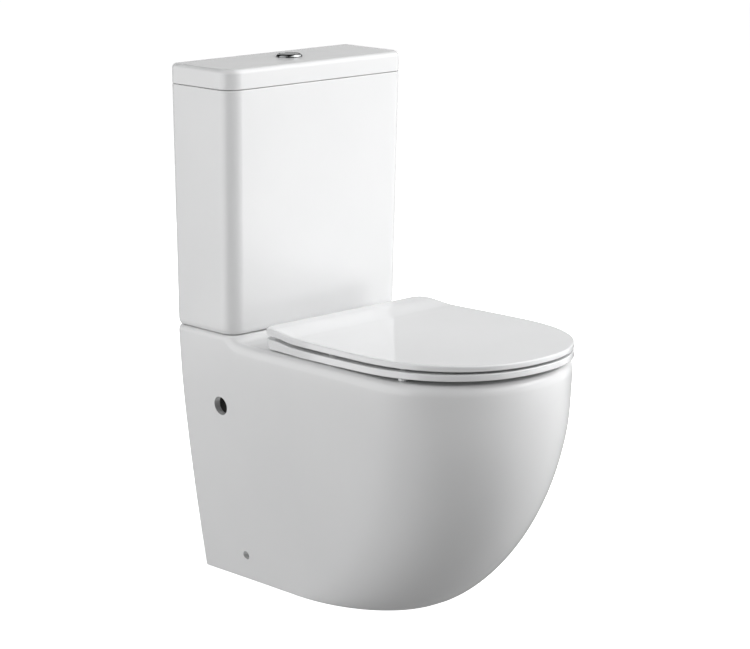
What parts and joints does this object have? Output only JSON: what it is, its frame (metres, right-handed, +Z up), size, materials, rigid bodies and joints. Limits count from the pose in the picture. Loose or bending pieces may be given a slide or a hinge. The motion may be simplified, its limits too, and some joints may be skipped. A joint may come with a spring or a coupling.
{
  "type": "close coupled toilet",
  "caption": "Back-to-wall close coupled toilet: skirted pan, slim cistern with a round dual push button on its lid, and a D-shaped soft-close seat ring and lid.",
  "frame": {"origin": "on the floor, midway between the wall face and the front of the seat, on the centre plane", "axes": "+Z up, +Y towards the wall behind the toilet, -Y towards the user, +X to the right as seen from the front"},
  "size_m": [0.375, 0.62, 0.8352],
  "materials": {
    "glazed_ceramic": "white high-gloss glaze",
    "seat_plastic": "white glossy moulded seat plastic",
    "chrome": "polished chrome plate",
    "steel": "satin stainless",
    "brass": "satin",
    "valve_plastic": "natural white moulding",
    "accent_plastic": "blue moulding",
    "rubber": "matt black",
    "bumper_rubber": "translucent white elastomer"
  },
  "bodies": {
    "base": {"pan": "glazed_ceramic", "pan_platform": "glazed_ceramic", "pan_bowl": "glazed_ceramic", "pan_flush_duct": "glazed_ceramic", "pan_trap": "glazed_ceramic", "cistern_tank": "glazed_ceramic", "tank_gasket": "rubber", "flush_valve_base": "valve_plastic", "flush_valve_washer": "rubber", "flush_valve_locknut": "valve_plastic", "flush_valve_cage": "valve_plastic", "flush_valve_head": "valve_plastic", "rocker_pin": "steel", "fill_valve_body": "valve_plastic", "fill_valve_washer": "rubber", "fill_valve_locknut": "valve_plastic", "fill_valve_pin": "steel", "tank_bolt_left": "brass", "tank_bolt_seal_left": "rubber", "tank_bolt_washer_left": "brass", "tank_wing_nut_left": "valve_plastic", "hinge_post_left": "chrome", "hinge_pin_left": "steel", "hinge_bolt_left": "steel", "hinge_nut_left": "valve_plastic", "tank_bolt_right": "brass", "tank_bolt_seal_right": "rubber", "tank_bolt_washer_right": "brass", "tank_wing_nut_right": "valve_plastic", "hinge_post_right": "chrome", "hinge_pin_right": "steel", "hinge_bolt_right": "steel", "hinge_nut_right": "valve_plastic"},
    "seat_ring": {"seat_ring": "seat_plastic", "ring_bumper_front_left": "bumper_rubber", "ring_bumper_front_right": "bumper_rubber", "ring_bumper_rear_left": "bumper_rubber", "ring_bumper_rear_right": "bumper_rubber"},
    "seat_lid": {"seat_lid": "seat_plastic", "lid_bumper_front_left": "bumper_rubber", "lid_bumper_front_right": "bumper_rubber", "lid_bumper_rear_left": "bumper_rubber", "lid_bumper_rear_right": "bumper_rubber"},
    "cistern_lid": {"cistern_lid": "glazed_ceramic", "button_bezel": "chrome", "button_nut": "valve_plastic"},
    "full_button": {"full_flush_button": "chrome", "full_push_rod": "valve_plastic"},
    "half_button": {"half_flush_button": "chrome", "half_push_rod": "valve_plastic"},
    "full_rocker": {"full_flush_rocker": "accent_plastic"},
    "half_rocker": {"half_flush_rocker": "accent_plastic"},
    "plunger": {"flush_valve_plunger": "accent_plastic", "flush_valve_seal": "rubber"},
    "float": {"fill_valve_float": "accent_plastic", "float_rod": "steel"},
    "float_arm": {"fill_valve_arm": "accent_plastic"}
  },
  "joints": [
    {"name": "ring_hinge", "type": "hinge", "parent": "base", "child": "seat_ring", "pos_m": [0, 0.109, 0.414], "axis": [-1, 0, 0], "range_deg": [0, 94]},
    {"name": "lid_hinge", "type": "hinge", "parent": "seat_ring", "child": "seat_lid", "pos_m": [0, 0.109, 0.414], "axis": [1, 0, 0], "range_deg": [-94, 0]},
    {"name": "cistern_lid_lift", "type": "slide", "parent": "base", "child": "cistern_lid", "axis": [0, 0, 1], "range_m": [0, 0.085]},
    {"name": "full_button_press", "type": "slide", "parent": "cistern_lid", "child": "full_button", "axis": [0, 0, -1], "range_m": [0, 0.007], "stiffness_N_per_m": 600, "springref_m": -0.003},
    {"name": "half_button_press", "type": "slide", "parent": "cistern_lid", "child": "half_button", "axis": [0, 0, -1], "range_m": [0, 0.007], "stiffness_N_per_m": 600, "springref_m": -0.003},
    {"name": "full_rocker_tilt", "type": "hinge", "parent": "base", "child": "full_rocker", "pos_m": [0, 0.258, 0.742], "axis": [1, 0, 0], "range_deg": [0, 21]},
    {"name": "half_rocker_tilt", "type": "hinge", "parent": "base", "child": "half_rocker", "pos_m": [0, 0.258, 0.742], "axis": [1, 0, 0], "range_deg": [0, 21]},
    {"name": "valve_lift", "type": "slide", "parent": "base", "child": "plunger", "axis": [0, 0, 1], "range_m": [0, 0.0102]},
    {"name": "float_rise", "type": "slide", "parent": "base", "child": "float", "axis": [0, 0, 1], "range_m": [0, 0.02]},
    {"name": "float_arm_tilt", "type": "hinge", "parent": "base", "child": "float_arm", "pos_m": [-0.129, 0.2183, 0.668], "axis": [0, -1, 0], "range_deg": [0, 33]}
  ],
  "couplings": [
    {"joint": "full_rocker_tilt", "follows": "full_button_press", "rad_per_m": 51.4},
    {"joint": "half_rocker_tilt", "follows": "half_button_press", "rad_per_m": 51.4},
    {"joint": "valve_lift", "follows": "full_button_press", "ratio": 1.43},
    {"joint": "float_arm_tilt", "follows": "float_rise", "rad_per_m": 28.57}
  ]
}
